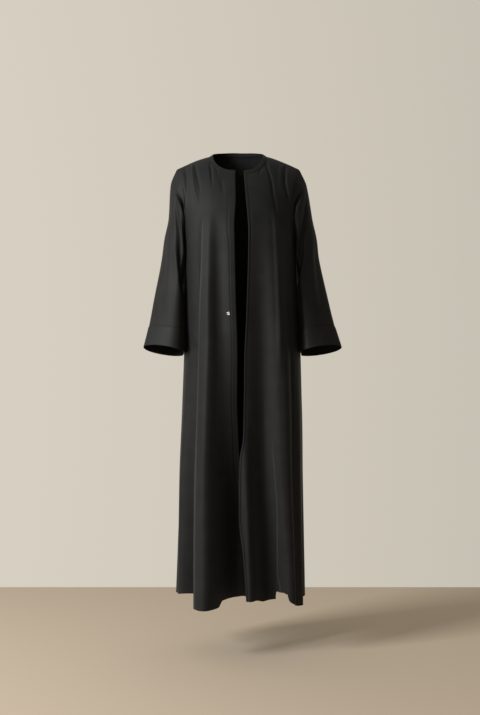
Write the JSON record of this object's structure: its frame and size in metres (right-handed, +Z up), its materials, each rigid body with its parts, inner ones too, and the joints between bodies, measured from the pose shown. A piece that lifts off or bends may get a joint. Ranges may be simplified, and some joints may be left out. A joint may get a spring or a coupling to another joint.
{
  "type": "abaya cloak",
  "caption": "Open-front, floor-length abaya cloak in black crepe with a round neck, long flared sleeves, deep cuffs and a press stud at the waist, worn open.",
  "frame": {"origin": "top edge of the neck band at the centre back, where the cloak hangs from the wearer's nape", "axes": "+Z up, the front of the cloak faces -Y, and +X is the wearer's left"},
  "size_m": [0.5992, 0.3433, 1.3781],
  "materials": {
    "crepe": "smooth matt black crepe with a faint soft sheen",
    "folded_crepe": "the same black crepe, folded double and pressed at the edges and cuffs",
    "snap_steel": "small pressed steel stud and socket, satin"
  },
  "bodies": {
    "root": {"front_right": "crepe", "front_left": "crepe", "back": "crepe", "sleeve_right": "crepe", "sleeve_left": "crepe", "cuff_right": "folded_crepe", "cuff_left": "folded_crepe", "neck_band": "folded_crepe", "front_band_right": "folded_crepe", "front_band_left": "folded_crepe", "snap_stud": "snap_steel", "snap_socket": "snap_steel"}
  },
  "joints": []
}
